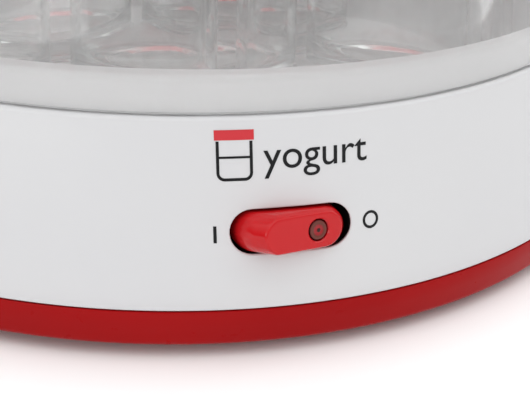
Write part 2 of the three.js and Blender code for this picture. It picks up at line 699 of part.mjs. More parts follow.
// The gland's flanges follow the housing wall on both sides, and its bore is free for a cord.
function cordGland() {
  const alongY = (r, y0, y1) =>
    turned([[0, y0], [r, y0], [r, y1], [0, y1]], 16).rotateX(-Math.PI / 2).translate(0, 0, GLAND_Z);
  const cone = (offset) => turned([[0, 0], [housingR(0) + offset, 0], [housingR(40) + offset, 40], [0, 40]]);
  const neck = alongY(GLAND_NECK_R, GLAND_INNER_Y, GLAND_FACE_Y - 1);
  const collar = cut(alongY(GLAND_COLLAR_R, 100, GLAND_FACE_Y), cone(GAP));
  const outerFlange = cut(alongY(GLAND_FLANGE_R, 100, GLAND_FACE_Y - 1.6), cone(GAP));
  const innerFlange = common(alongY(GLAND_FLANGE_R, GLAND_INNER_Y, 120), cone(-WALL - GAP));
  return cut(join(neck, collar, outerFlange, innerFlange), alongY(GLAND_BORE_R, 100, 130));
}

add("cord_gland", cordGland(), FINISH.rubber);

function terminalBlock() {
  const [length, width, height] = BLOCK_SIZE;
  const body = block(
    [-length / 2, BLOCK_Y - width / 2, BLOCK_Z],
    [length / 2, BLOCK_Y + width / 2, BLOCK_Z + height],
  );
  const wireHoles = [-BLOCK_POLE_X, BLOCK_POLE_X].map((x) =>
    pegY(1.9, BLOCK_Y - width, BLOCK_Y + width, [x, BLOCK_Z + height / 2], 8));
  const driverHoles = [-BLOCK_POLE_X, BLOCK_POLE_X].map((x) =>
    rod(1.7, BLOCK_Z + height / 2, BLOCK_Z + height + 1, [x, BLOCK_Y], 8));
  const fixing = rod(1.6, 0, 30, [0, BLOCK_Y], 8);
  return cut(body, ...wireHoles, ...driverHoles, fixing);
}

add("terminal_block", terminalBlock(), FINISH.nylon);

const blockScrew = add("terminal_block_screw", screw(2.6, 1.8, 1, 12.4), FINISH.steel);
blockScrew.rotation.x = Math.PI;
blockScrew.position.set(0, BLOCK_Y, BLOCK_Z + BLOCK_SIZE[2] + GAP + 1.8);

// Where each terminal tab ends, in the object's frame.
const tabEnd = (x) => new THREE.Vector3(x, TAB_END_Y + GAP, 0).applyMatrix4(switchFrame.matrix).toArray();

// A lead from the terminal block or heater, round one side of the base, to a switch tab.
function leadRound(start, angles, tabX, ringR) {
  const end = tabEnd(tabX);
  const inward = [end[0], end[1] + 6, end[2] - 2.5];
  const ring = angles.map((a) => [...polar(a, ringR), LEAD_Z]);
  return cable([...start, ...ring, inward, end], LEAD_R, 28);
}

const poleEnd = (x, side) => [x, BLOCK_Y + side * (BLOCK_SIZE[1] / 2 + GAP), BLOCK_Z + BLOCK_SIZE[2] / 2];
const fuseEnd = [FUSE_X, FUSE_Y[1] + GAP, CORD_Z];

add(
  "lead_line",
  leadRound(
    [poleEnd(-BLOCK_POLE_X, 1), [-16, 76, 10.5]],
    [203, 228, 252, 276, 300, 324, 343],
    TAB_X[1],
    LEAD_OUTER_RING_R,
  ),
  FINISH.leadBrown,
);
add(
  "lead_lamp",
  leadRound(
    [poleEnd(BLOCK_POLE_X, -1), [8, 44, 11], [-12, 36, 10.5], [-36, 46, 10], [-54, 60, 9.8]],
    [227, 246, 268, 290, 312, 334],
    TAB_X[0],
    LEAD_RING_R,
  ),
  FINISH.leadBlue,
);
add(
  "lead_switched",
  leadRound(
    [fuseEnd, [0.5, 76, CORD_Z + 0.1], [5, 87, CORD_Z - 1.5], [15, 92, 18]],
    [158, 138, 114, 90, 66, 42, 22],
    TAB_X[2],
    LEAD_OUTER_RING_R,
  ),
  FINISH.leadBrown,
);
add(
  "lead_neutral",
  cable(
    [[CORD_START[0], CORD_START[1] + 3 * GAP, CORD_Z], [-11, 88, 25], [-8, 91, 19], [2, 87, 13],
      [7.5, 74, BLOCK_Z + BLOCK_SIZE[2] / 2], poleEnd(BLOCK_POLE_X, 1)],
    LEAD_R,
    16,
  ),
  FINISH.leadBlue,
);

export default yogurtMaker;
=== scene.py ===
"""Looks of the seven-jar yogurt maker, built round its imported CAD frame.

Lengths in the profiles are millimetres in the CAD's frame: +Z up, the switch facing -Y, the table at Z = 0.
"""
import json
import math

import bmesh
import bpy
from mathutils import Matrix, Vector


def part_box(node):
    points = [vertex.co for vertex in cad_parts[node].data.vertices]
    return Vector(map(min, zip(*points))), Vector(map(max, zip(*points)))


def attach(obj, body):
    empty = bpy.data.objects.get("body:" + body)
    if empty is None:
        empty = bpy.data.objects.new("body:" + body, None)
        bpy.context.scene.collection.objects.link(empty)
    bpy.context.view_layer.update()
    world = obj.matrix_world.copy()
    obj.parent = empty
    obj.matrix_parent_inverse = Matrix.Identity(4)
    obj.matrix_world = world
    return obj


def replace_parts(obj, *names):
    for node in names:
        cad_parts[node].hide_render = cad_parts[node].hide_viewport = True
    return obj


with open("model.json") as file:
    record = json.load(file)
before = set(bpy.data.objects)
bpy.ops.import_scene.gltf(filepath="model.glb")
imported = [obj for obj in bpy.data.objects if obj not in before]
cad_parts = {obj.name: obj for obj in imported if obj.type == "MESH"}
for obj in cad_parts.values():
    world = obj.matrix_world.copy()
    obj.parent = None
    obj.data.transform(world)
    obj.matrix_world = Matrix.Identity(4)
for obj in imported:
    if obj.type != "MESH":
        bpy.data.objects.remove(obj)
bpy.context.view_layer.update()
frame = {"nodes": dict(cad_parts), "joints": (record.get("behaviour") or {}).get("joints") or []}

MM = 0.001
SIDES = 256  # round mouldings
nodes = frame["nodes"]


# ---------- sizes taken from the frame ----------

def box_mm(node):
    """Lowest and highest corner of a CAD node, in millimetres."""
    low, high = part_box(node)
    return low / MM, high / MM


def joint(name):
    return next(j for j in frame["joints"] if j["name"] == name)


base_low, base_high = box_mm("base_pan")
shell_low, shell_high = box_mm("housing_shell")
tray_high = box_mm("inner_tray")[1]
cover_low, cover_high = box_mm("cover")
gland_low, gland_high = box_mm("cord_gland")

GAP = 0.3  # between pieces that touch
SEAM_R = base_high.x  # widest line of the casing
SEAM_Z = shell_low.z - GAP
LEDGE_Z = shell_high.z  # ledge that carries the tray rim and the cover
LEDGE_IN_R = 103.7
TOP_R = 111.5  # radius of the housing at its ledge
WALL = 2.4  # thickness of the housing and of the tray
TONGUE_R = 116.2  # rim of the base that stands inside the housing
RIM_R = tray_high.x
RIM_IN_R = 100.6
RIM_Z = tray_high.z
COVER_R = cover_high.x
COVER_Z = cover_low.z
COVER_TOP = cover_high.z

PIVOT = Vector(joint("rocker_tilt")["pos_m"])
PIVOT_AXIS = Vector(joint("rocker_tilt")["axis"])
LEAN = math.atan2(PIVOT_AXIS.y, PIVOT_AXIS.z)  # lean of the housing wall
ROCKER_REST = math.radians(sum(joint("rocker_tilt")["range_deg"]) / 2)  # turn from level at rest
SWITCH_Z = 27.0  # middle of the switch slot on the wall


# ---------- materials ----------

class Finish:
    """A Principled material under construction, with its textures in object space."""

    def __init__(self, name, colour, roughness, **sockets):
        self.made = bpy.data.materials.new(name)
        self.made.use_nodes = True
        self.tree = self.made.node_tree
        self.shader = self.tree.nodes["Principled BSDF"]
        self.where = self.tree.nodes.new("ShaderNodeTexCoord").outputs["Object"]
        self.colour = (*colour, 1)
        self.shader.inputs["Base Color"].default_value = self.colour
        self.shader.inputs["Roughness"].default_value = roughness
        for socket, value in sockets.items():
            self.shader.inputs[socket.replace("_", " ")].default_value = value

    def node(self, kind, **values):
        made = self.tree.nodes.new(kind)
        for key, value in values.items():
            if key in made.inputs:
                made.inputs[key].default_value = value
            else:
                setattr(made, key, value)
        return made

    def link(self, out, into):
        self.tree.links.new(out, into)
        return self

    def noise(self, scale, detail=3, stretch=(1, 1, 1)):
        """Noise with features about 1/scale metres across, stretched along the axes."""
        mapping = self.node("ShaderNodeMapping", Scale=stretch)
        self.link(self.where, mapping.inputs["Vector"])
        made = self.node("ShaderNodeTexNoise", Scale=scale, Detail=detail)
        self.link(mapping.outputs["Vector"], made.inputs["Vector"])
        return made.outputs["Fac"]

    def spread(self, fac, low, high, into):
        """Maps a 0.3-0.7 noise to a range of a plain socket."""
        limits = {"From Min": 0.3, "From Max": 0.7, "To Min": low, "To Max": high}
        made = self.node("ShaderNodeMapRange", **limits)
        self.link(fac, made.inputs["Value"])
        return self.link(made.outputs["Result"], self.shader.inputs[into])

    def tint(self, fac, other, low=0.35, high=0.65):
        """Blends the base colour towards another where fac is high."""
        ramp = self.node("ShaderNodeValToRGB")
        ramp.color_ramp.elements[0].position = low
        ramp.color_ramp.elements[0].color = self.colour
        ramp.color_ramp.elements[1].position = high
        ramp.color_ramp.elements[1].color = (*other, 1)
        self.link(fac, ramp.inputs["Fac"])
        return self.link(ramp.outputs["Color"], self.shader.inputs["Base Color"])

    def bump(self, fac, height_mm, strength=1.0):
        made = self.node("ShaderNodeBump", Strength=strength, Distance=height_mm * MM)
        self.link(fac, made.inputs["Height"])
        return self.link(made.outputs["Normal"], self.shader.inputs["Normal"])


def moulded(name, colour, other, roughness, **sockets):
    """Injection-moulded plastic: a slow drift of tone, a fine uneven gloss and the faintest orange peel."""
    made = Finish(name, colour, roughness, **sockets)
    made.tint(made.noise(14), other)
    made.spread(made.noise(260, 5), roughness * 0.9, roughness * 1.1, "Roughness")
    return made.bump(made.noise(700, 3), 0.0015).made


def brushed(name, colour, roughness, stretch=(1, 40, 1)):
    """Metal with a fine grain along one axis."""
    made = Finish(name, colour, roughness, Metallic=1.0)
    grain = made.noise(90, 6, stretch)
    made.spread(grain, roughness * 0.6, roughness * 1.5, "Roughness")
    made.tint(made.noise(40), [c * 0.86 for c in colour])
    return made.bump(grain, 0.01).made


def clear(name, colour, ior, ripple_mm, ripple_scale):
    """Clear glass or plastic with a slow ripple in its surface."""
    made = Finish(name, colour, 0, IOR=ior, Transmission_Weight=1.0)
    made.bump(made.noise(ripple_scale, 2, (1, 1, 0.35)), ripple_mm)
    return made.spread(made.noise(300, 4), 0, 0.03, "Roughness")


def painted_light_veil(made, foot, head):
    """Milks a clear material at its foot, fading out towards its head, in millimetres: a painted white veil
    that stands in for the light in the jars' well seen through it.
    """
    parts = made.node("ShaderNodeSeparateXYZ")
    made.link(made.where, parts.inputs["Vector"])
    limits = {"From Min": foot * MM, "From Max": head * MM, "To Min": 0.8, "To Max": 0.975}
    fade = made.node("ShaderNodeMapRange", **limits)
    made.link(parts.outputs["Z"], fade.inputs["Value"])
    return made.link(fade.outputs["Result"], made.shader.inputs["Transmission Weight"])


WHITE = moulded("white_plastic", (0.61, 0.61, 0.622), (0.625, 0.625, 0.632), 0.32, Specular_IOR_Level=0.3)
TRAY_WHITE = moulded("tray_plastic", (0.9, 0.895, 0.9), (0.88, 0.875, 0.88), 0.4, Specular_IOR_Level=0.3)
RED = moulded("red_plastic", (0.33, 0.004, 0.005), (0.3, 0.003, 0.004), 0.3, Specular_IOR_Level=0.09)
ROCKER_RED = moulded(
    "rocker_plastic", (0.52, 0.009, 0.012), (0.49, 0.007, 0.01), 0.11, Specular_IOR_Level=0.3)
LID_RED = moulded("red_lid_plastic", (0.8, 0.07, 0.09), (0.76, 0.06, 0.08), 0.36, Transmission_Weight=0.68)
# The cover's foot is painted milky white, a painted brightening for the light in the well behind it.
CLEAR = painted_light_veil(clear("clear_plastic", (0.997, 0.997, 0.999), 1.49, 0.02, 22), COVER_Z, COVER_Z + 40).made
GLASS = clear("jar_glass", (0.988, 0.997, 0.992), 1.52, 0.12, 60).made
NYLON = moulded("nylon", (0.76, 0.72, 0.62), (0.7, 0.66, 0.56), 0.5)
BLACK_NYLON = moulded(
    "black_nylon", (0.016, 0.015, 0.014), (0.022, 0.021, 0.02), 0.55, Specular_IOR_Level=0.2)
RUBBER = moulded("foot_rubber", (0.035, 0.033, 0.032), (0.05, 0.048, 0.046), 0.75)
GLAND_GREY = moulded("gland_rubber", (0.7, 0.7, 0.69), (0.66, 0.66, 0.65), 0.55)
SILICONE = moulded("heater_silicone", (0.66, 0.61, 0.53), (0.6, 0.55, 0.47), 0.6)
BROWN = moulded("lead_brown", (0.11, 0.045, 0.02), (0.09, 0.036, 0.016), 0.5)
BLUE = moulded("lead_blue", (0.03, 0.12, 0.36), (0.025, 0.1, 0.31), 0.5)
STEEL = brushed("steel", (0.6, 0.61, 0.62), 0.28)
ALUMINIUM = brushed("aluminium", (0.7, 0.71, 0.72), 0.35, (60, 1, 1))
BRASS = brushed("brass", (0.72, 0.52, 0.2), 0.3, (30, 1, 1))
LABEL = brushed("label_film", (0.68, 0.69, 0.7), 0.4, (1, 60, 1))
INK = moulded("black_ink", (0.01, 0.01, 0.011), (0.015, 0.015, 0.016), 0.5, Specular_IOR_Level=0.15)
RED_INK = moulded("red_ink", (0.55, 0.02, 0.03), (0.5, 0.018, 0.026), 0.45)


def felt():
    made = Finish("insulation_fibre", (0.72, 0.66, 0.5), 0.95, Sheen_Weight=0.4)
    made.tint(made.noise(500, 8), (0.6, 0.54, 0.4))
    return made.bump(made.noise(1400, 8), 0.3).made


def lens_plastic():
    """Tinted lens: a dark spot where the lamp stands behind it, a redder ring and a dark rim."""
    made = Finish("lens_plastic", (0.1, 0.02, 0.016), 0.12, Specular_IOR_Level=0.2)
    radius = made.node("ShaderNodeVectorMath", operation="LENGTH")
    made.link(made.where, radius.inputs[0])
    scaled = made.node("ShaderNodeMath", operation="DIVIDE")
    scaled.inputs[1].default_value = LENS_R * MM
    made.link(radius.outputs["Value"], scaled.inputs[0])
    ramp = made.node("ShaderNodeValToRGB")
    stops = [(0.0, (0.03, 0.012, 0.01)), (0.18, (0.04, 0.014, 0.012)), (0.28, (0.34, 0.022, 0.026)),
             (0.5, (0.28, 0.02, 0.024)), (0.64, (0.12, 0.035, 0.026)), (0.86, (0.15, 0.04, 0.03)),
             (1.0, (0.06, 0.008, 0.008))]
    first, last = ramp.color_ramp.elements
    first.color, last.color = (*stops[0][1], 1), (*stops[-1][1], 1)
    for position, colour in stops[1:-1]:
        ramp.color_ramp.elements.new(position).color = (*colour, 1)
    made.link(scaled.outputs["Value"], ramp.inputs["Fac"])
    made.link(ramp.outputs["Color"], made.shader.inputs["Base Color"])
    made.spread(made.noise(500), 0.08, 0.16, "Roughness")
    return made.made


# ---------- mesh helpers ----------

def arc(cr, cz, radius, start, end, count=8):
    """Points (r, z) of an arc in a profile, by angle in degrees from the +r direction."""
    angles = [math.radians(start + (end - start) * i / count) for i in range(count + 1)]
    return [(cr + radius * math.cos(a), cz + radius * math.sin(a)) for a in angles]


def finished(name, bm, material, crease=35):
    """A linked object from a bmesh in millimetres, smooth but for edges sharper than the crease."""
    bmesh.ops.recalc_face_normals(bm, faces=bm.faces)
    bmesh.ops.scale(bm, vec=(MM, MM, MM), verts=bm.verts)
    mesh = bpy.data.meshes.new(name)
    bm.to_mesh(mesh)
    bm.free()
    mesh.shade_smooth()
    mesh.set_sharp_from_angle(angle=math.radians(crease))
    mesh.materials.append(material)
    made = bpy.data.objects.new(name, mesh)
    bpy.context.scene.collection.objects.link(made)
    return made


def ring(bm, radius_at, height, sides):
    """One ring of vertices. radius_at takes the ring's angle."""
    made = []
    for i in range(sides):
        a = 2 * math.pi * i / sides
        r = radius_at(a)
        made.append(bm.verts.new((r * math.sin(a), -r * math.cos(a), height)))
    return made


def bridge(bm, first, second):
    """Quads between two closed loops of the same length."""
    count = len(first)
    for i in range(count):
        j = (i + 1) % count
        bm.faces.new((first[i], first[j], second[j], second[i]))


def turned(bm, profile, sides=SIDES, ripple=None):
    """Turns (r, z) points about Z. A profile that starts and ends off the axis is closed on itself."""
    loops = []
    for r, z in profile:
        if r < 1e-6:
            loops.append(bm.verts.new((0, 0, z)))
        else:
            loops.append(ring(bm, lambda a, r=r, z=z: r - (ripple(a, r, z) if ripple else 0), z, sides))
    pairs = list(zip(loops, loops[1:]))
    if isinstance(loops[0], list) and isinstance(loops[-1], list):
        pairs.append((loops[-1], loops[0]))
    for a, b in pairs:
        if isinstance(a, list) and isinstance(b, list):
            bridge(bm, a, b)
        elif isinstance(a, list) or isinstance(b, list):
            rim, tip = (a, b) if isinstance(a, list) else (b, a)
            for i in range(len(rim)):
                bm.faces.new((rim[i], rim[(i + 1) % len(rim)], tip))
    return bm


def turned_piece(name, profile, material, sides=SIDES, ripple=None, crease=35):
    return finished(name, turned(bmesh.new(), profile, sides, ripple), material, crease)


def rod(bm, radius, z0, z1, at=(0, 0), sides=48):
    """Adds a rod along Z."""
    start = len(bm.verts)
    turned(bm, [(0, z0), (radius, z0), (radius, z1), (0, z1)], sides)
    bm.verts.ensure_lookup_table()
    bmesh.ops.translate(bm, vec=(*at, 0), verts=bm.verts[start:])


def prism(bm, outline, z0, z1):
    """Adds a straight prism on a plan outline."""
    low = [bm.verts.new((x, y, z0)) for x, y in outline]
    high = [bm.verts.new((x, y, z1)) for x, y in outline]
    bridge(bm, low, high)
    bm.faces.new(low)
    bm.faces.new(high)


def combined(piece, bm, operation):
    """Applies a boolean with the closed bodies of a bmesh in millimetres."""
    tool = finished("tool", bm, piece.data.materials[0])
    modifier = piece.modifiers.new("cut", "BOOLEAN")
    modifier.operation, modifier.solver, modifier.object = operation, "EXACT", tool
    evaluated = piece.evaluated_get(bpy.context.evaluated_depsgraph_get())
    mesh = bpy.data.meshes.new_from_object(evaluated)
    piece.modifiers.clear()
    piece.data = mesh
    mesh.shade_smooth()
    mesh.set_sharp_from_angle(angle=math.radians(35))
    bpy.data.objects.remove(tool)
    return piece


def stadium_reach(angle, half_length, radius):
    """Distance from the middle of a slot shape to its edge, along an angle."""
    c, s = abs(math.cos(angle)), abs(math.sin(angle))
    straight = half_length - radius
    if s > 1e-9 and radius / s * c <= straight:
        return radius / s
    return straight * c + math.sqrt(max(radius ** 2 - (straight * s) ** 2, 0))


def placed(piece, body, slot, *replaced):
    """Rides a piece on its body, in place of CAD nodes."""
    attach(piece, body)
    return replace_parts(piece, *replaced) if replaced else piece


# ---------- camera, light and floor ----------

def camera():
    """Looks down at the switch from its left, close to the casing, and leans a little."""
    place = Vector((-0.0612, -0.3089, 0.1307))
    yaw, pitch, roll = map(math.radians, (16.04, 25.77, 2.38))
    data = bpy.data.cameras.new("camera")
    data.sensor_width, data.lens = 36, 77.54
    made = bpy.data.objects.new("camera", data)
    bpy.context.scene.collection.objects.link(made)
    ahead = Vector((math.sin(yaw) * math.cos(pitch), math.cos(yaw) * math.cos(pitch), -math.sin(pitch)))
    right = Vector((math.cos(yaw), -math.sin(yaw), 0))
    up = right.cross(ahead)
    side = right * math.cos(roll) + up * math.sin(roll)
    top = up * math.cos(roll) - right * math.sin(roll)
    made.matrix_world = Matrix.Translation(place) @ Matrix((side, top, -ahead)).transposed().to_4x4()
    data.clip_start = 0.01
    bpy.context.scene.camera = made


def softbox(name, at, towards, size, power):
    data = bpy.data.lights.new(name, "AREA")
    data.shape, data.size, data.size_y = "RECTANGLE", size[0], size[1]
    data.energy = power
    made = bpy.data.objects.new(name, data)
    bpy.context.scene.collection.objects.link(made)
    made.location = at
    made.rotation_euler = (Vector(towards) - Vector(at)).to_track_quat("-Z", "Y").to_euler()


def soft_sky():
    """White tent: dim at the horizon, bright overhead and a little brighter on the right."""
    world = bpy.data.worlds.new("studio")
    bpy.context.scene.world = world
    world.use_nodes = True
    tree = world.node_tree

    def maths(operation, first, second):
        made = tree.nodes.new("ShaderNodeMath")
        made.operation = operation
        for socket, value in zip(made.inputs, (first, second)):
            if isinstance(value, float):
                socket.default_value = value
            else:
                tree.links.new(value, socket)
        return made.outputs["Value"]

    direction = tree.nodes.new("ShaderNodeSeparateXYZ")
    tree.links.new(tree.nodes.new("ShaderNodeTexCoord").outputs["Generated"], direction.inputs["Vector"])
    height = maths("MAXIMUM", direction.outputs["Z"], 0.0)
    overhead = maths("MULTIPLY", maths("POWER", height, 1.5), 1.8)
    sideways = maths("MULTIPLY", direction.outputs["X"], 0.28)
    strength = maths("ADD", maths("ADD", overhead, sideways), 0.32)
    background = tree.nodes["Background"]
    background.inputs["Color"].default_value = (1, 1, 1, 1)
    tree.links.new(strength, background.inputs["Strength"])


def studio():
    scene = bpy.context.scene
    scene.view_settings.view_transform = "Standard"
    scene.cycles.max_bounces = 24
    scene.cycles.transmission_bounces = 20
    scene.cycles.diffuse_bounces = 8
    scene.cycles.glossy_bounces = 8
    soft_sky()
    softbox("left_box", (-0.62, -0.6, 0.27), (0, 0, 0.05), (0.4, 0.3), 1.1)

    paper = Finish("floor_paper", (0.94, 0.94, 0.94), 0.6, Specular_IOR_Level=0.2)
    paper.tint(paper.noise(3), (0.92, 0.92, 0.92))
    bm = bmesh.new()
    bmesh.ops.create_grid(bm, x_segments=8, y_segments=8, size=2500)
    floor = finished("floor", bm, paper.made)
    floor.location.z = -0.0002


# ---------- casing ----------

def housing_radius(z):
    """Radius of the cone of the housing's outer face."""
    return SEAM_R - (z - SEAM_Z) * (SEAM_R - TOP_R) / (LEDGE_Z - SEAM_Z)


def wall_point(azimuth, z, depth=0.0):
    """A point on the housing's outer face, or at a depth inside it, in millimetres."""
    r = housing_radius(z + depth * math.sin(LEAN)) - depth * math.cos(LEAN)
    return Vector((r * math.sin(azimuth), -r * math.cos(azimuth), z))


class Window:
    """A hole in the housing wall, set in a patch of its grid."""

    def __init__(self, azimuth, z, half_columns, half_length, radius, lip, relief):
        self.azimuth, self.z, self.half_columns = azimuth, z, half_columns
        self.half_length, self.radius = half_length, radius
        self.lip = lip  # radius of the rounded outer edge
        self.relief = relief  # how much wider the hole is at the inner face

    def point(self, x, y, depth=0.0):
        z = self.z + y * math.cos(LEAN)
        r = housing_radius(z) - depth
        return wall_point(math.radians(self.azimuth) + x / r, z, depth)

    def loop(self, bm, edge, blend, grow, depth):
        """A loop from the patch's edge, at blend 0, to the hole grown by an offset, at blend 1."""
        made = []
        for x, y in edge:
            angle = math.atan2(y, x)
            reach = stadium_reach(angle, self.half_length + grow, self.radius + grow)
            hole = (reach * math.cos(angle), reach * math.sin(angle))
            at_x, at_y = x + (hole[0] - x) * blend, y + (hole[1] - y) * blend
            made.append(bm.verts.new(self.point(at_x, at_y, depth)))
        return made


WINDOW_ROWS = [14.6 + 1.5 * i for i in range(17)]  # heights of the rings that cross the windows' patches
SWITCH_SLOT = Window(0, SWITCH_Z, 10, 12.6, 4.6, 0.35, 1.1)
GLAND_HOLE = Window(180, (gland_low.z + gland_high.z) / 2, 8, 5.0, 5.0, 0.3, 0.0)


def housing():
    """The cone as one grid of rings. Loops that run to each window's hole fill its patch."""
    columns, steps = 360, 6
    foot, bevel = shell_low.z, 0.4
    inner_top = LEDGE_Z - WALL
    bottom = arc(housing_radius(foot + bevel) - bevel, foot + bevel, bevel, -90, 0)
    outer_rows = [*WINDOW_ROWS, 42.0, 46.0]
    crown = arc(TOP_R - 0.85, LEDGE_Z - 0.95, 0.95, 0, 90)
    ledge = [(LEDGE_IN_R, LEDGE_Z), (LEDGE_IN_R, inner_top)]
    inner_rows = [inner_top - 1, *reversed(WINDOW_ROWS)]
    profile = [*bottom, *[(housing_radius(z), z) for z in outer_rows], *crown, *ledge]
    across, along = WALL * math.cos(LEAN), WALL * math.sin(LEAN)
    profile += [(housing_radius(z + along) - across, z) for z in inner_rows]
    profile += [(housing_radius(foot) - WALL, foot)]
    bm = bmesh.new()
    rings = [ring(bm, lambda a, r=r: r, z, columns) for r, z in profile]
    outer_at = {z: len(bottom) + i for i, z in enumerate(outer_rows)}
    inner_start = len(bottom) + len(outer_rows) + len(crown) + len(ledge)
    inner_at = {z: inner_start + i for i, z in enumerate(inner_rows)}

    taken = set()
    for window in (SWITCH_SLOT, GLAND_HOLE):
        middle = round(window.azimuth)
        span = [(middle + i) % columns for i in range(-window.half_columns, window.half_columns + 1)]
        last = len(WINDOW_ROWS) - 1
        border = [(c, 0) for c in range(len(span) - 1)] + [(len(span) - 1, r) for r in range(last)]
        border += [(c, last) for c in range(len(span) - 1, 0, -1)] + [(0, r) for r in range(last, 0, -1)]
        hole_edges = []
        for at, depth in ((outer_at, 0.0), (inner_at, WALL)):
            loops = [[rings[at[WINDOW_ROWS[r]]][span[c]] for c, r in border]]
            radius = housing_radius(window.z) - depth
            edge = [(math.radians(c - window.half_columns) * radius,
                     (WINDOW_ROWS[r] - window.z) / math.cos(LEAN)) for c, r in border]
            grow = window.relief if depth else window.lip
            loops += [window.loop(bm, edge, k / steps, grow, depth) for k in range(1, steps + 1)]
            if not depth:
                for k in range(1, steps + 1):
                    turn = math.radians(90 * k / steps)
                    left, down = window.lip * (1 - math.sin(turn)), window.lip * (1 - math.cos(turn))
                    loops.append(window.loop(bm, edge, 1, left, down))
            for a, b in zip(loops, loops[1:]):
                bridge(bm, a, b)
            hole_edges.append(loops[-1])
        bridge(bm, *hole_edges)
        low_outer, high_outer = outer_at[WINDOW_ROWS[0]], outer_at[WINDOW_ROWS[-1]]
        low_inner, high_inner = inner_at[WINDOW_ROWS[-1]], inner_at[WINDOW_ROWS[0]]
        for c in span[:-1]:
            taken.update((k, c) for k in [*range(low_outer, high_outer), *range(low_inner, high_inner)])
    for k in range(len(rings)):
        a, b = rings[k], rings[(k + 1) % len(rings)]
        for c in range(columns):
            if (k, c) not in taken:
                d = (c + 1) % columns
                bm.faces.new((a[c], a[d], b[d], b[c]))
    placed(finished("housing", bm, WHITE), "base", "white_plastic", "housing_shell")


def base():
    """Red pan with its feet wells, screw wells, vents and label recess cut from below."""
    floor_z, top = base_low.z, SEAM_Z
    flat_r, corner = 117.4, 2.0  # the underside and the round at its edge
    inner_r, inner_z = TONGUE_R - 1.8, floor_z + 3
    side = [(flat_r, floor_z), *arc(flat_r, floor_z + corner, corner, -90, -5, 10), (119.8, 7.5),
            (SEAM_R, top - 0.1), (SEAM_R - 0.1, top + 0.1)]
    pan = turned_piece("base", [
        (0, floor_z), *side, (TONGUE_R, top + 0.1), (TONGUE_R, base_high.z), (inner_r, base_high.z),
        (inner_r, inner_z), (0, inner_z)], RED)
    posts = bmesh.new()
    for screw in range(1, 5):
        rod(posts, 6.2, floor_z + 1, 9.0, middle_of(f"casing_screw_{screw}"))
    rod(posts, 4, floor_z + 1, 7.5, middle_of("terminal_block"))
    combined(pan, posts, "UNION")
    wells = bmesh.new()
    for screw in range(1, 5):
        rod(wells, 4.2, 0, 6.6, middle_of(f"casing_screw_{screw}"))
    for foot in range(1, 5):
        rod(wells, 7.3, 0, 4.6, middle_of(f"foot_{foot}"), 64)
    low, high = box_mm("rating_label")
    left, right, front, back = low.x - GAP, high.x + GAP, low.y - GAP, high.y + GAP
    prism(wells, [(left, front), (right, front), (right, back), (left, back)], 0, high.z + GAP)
    for vent in range(8):
        turn = Matrix.Rotation(math.radians(45 * vent + 22.5), 2)
        outline = []
        for i in range(32):
            a = 2 * math.pi * (i + 0.5) / 32
            reach = stadium_reach(a, 11, 1.3)
            outline.append(turn @ Vector((26 + reach * math.cos(a), reach * math.sin(a))))
        prism(wells, outline, 0, floor_z + 4)
    combined(pan, wells, "DIFFERENCE")
    placed(pan, "base", "red_plastic", "base_pan")


def middle_of(node):
    low, high = box_mm(node)
    return ((low.x + high.x) / 2, (low.y + high.y) / 2)


def copy_of(first, stem, number):
    """The first piece itself, or for a higher number a linked copy that shares its mesh."""
    if number == 1:
        return first
    made = bpy.data.objects.new(f"{stem}_{number}", first.data)
    bpy.context.scene.collection.objects.link(made)
    return made


def feet():
    """Rubber feet with a shallow dimple in the sole."""
    height = box_mm("foot_1")[1].z
    profile = [(0, 0.5), (3.2, 0.5), (3.7, 0.0), *arc(6.1, 0.9, 0.9, -90, 0), (7, height), (0, height)]
    first = turned_piece("foot_pad_1", profile, RUBBER, 96)
    for i in range(1, 5):
        pad = copy_of(first, "foot_pad", i)
        pad.location = Vector((*middle_of(f"foot_{i}"), 0)) * MM
        placed(pad, "base", "foot_rubber", f"foot_{i}")


def tray():
    """White tray: raised rim, sloping wall, a floor with seven shallow seats, and the posts below it."""
    seat_z, floor_z, under = 32.5, 34.0, 30.0
    rim_under, skirt_r, skirt_z = RIM_Z - WALL + 0.2, 106, LEDGE_Z + GAP
    piece = turned_piece("tray", [
        (0, under), *arc(97.0, under + 3.2, 3.2, -90, -8), (103.1, rim_under), (skirt_r, rim_under),
        (skirt_r, skirt_z), (RIM_R, skirt_z), *arc(RIM_R - 1.7, RIM_Z - 1.7, 1.7, 0, 90),
        *arc(RIM_IN_R + 1.4, RIM_Z - 1.4, 1.4, 90, 173), *arc(96.6, floor_z + 1.8, 1.8, -8, -90),
        (0, floor_z)], TRAY_WHITE)
    posts = bmesh.new()
    for screw in range(1, 5):
        rod(posts, 4.5, 9.3, under + 1, middle_of(f"casing_screw_{screw}"))
    for screw in range(1, 4):
        rod(posts, 3.5, 21.3, under + 1, middle_of(f"heater_screw_{screw}"))
    combined(piece, posts, "UNION")
    seats = bmesh.new()
    for jar in range(1, 8):
        start = len(seats.verts)
        turned(seats, [(0, seat_z), (30.3, seat_z), (30.8, seat_z + 0.5), (30.8, floor_z - 0.5),
                       (31.8, floor_z + 0.5), (0, floor_z + 0.5)], 120)
        seats.verts.ensure_lookup_table()
        bmesh.ops.translate(seats, vec=(*middle_of(f"jar_{jar}"), 0), verts=seats.verts[start:])
    combined(piece, seats, "DIFFERENCE")
    placed(piece, "base", "white_plastic", "inner_tray")


